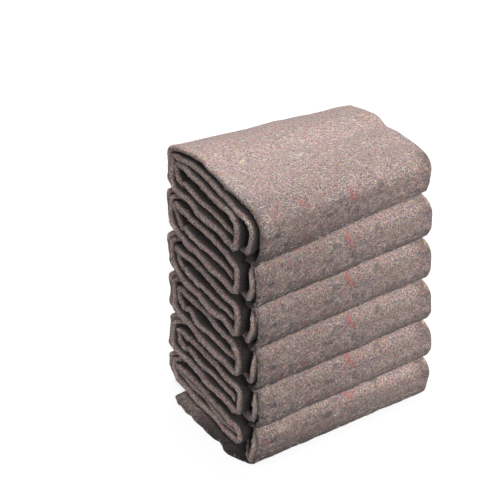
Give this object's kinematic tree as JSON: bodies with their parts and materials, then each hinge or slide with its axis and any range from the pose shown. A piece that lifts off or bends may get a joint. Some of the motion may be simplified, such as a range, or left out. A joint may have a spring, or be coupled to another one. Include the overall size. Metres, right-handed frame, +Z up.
{
  "type": "moving blanket stack",
  "caption": "Stack of moving blankets of recycled-fibre needle felt, each folded lengthwise and rolled up flat, its puffed fold edges at one end and a smooth long side beside them.",
  "frame": {"origin": "on the floor, under the middle of the rolled blankets, leaving out the lowest one's tongue", "axes": "+Z up; -X towards the near end, where the fold edges show; -Y towards the smooth long side"},
  "size_m": [0.3657, 0.2697, 0.5457],
  "materials": {
    "felt": "matt needle felt, mottled with coloured fibres"
  },
  "bodies": {
    "root": {"blanket_1": "felt", "blanket_2": "felt", "blanket_3": "felt", "blanket_4": "felt", "blanket_5": "felt", "blanket_6": "felt"}
  },
  "joints": []
}
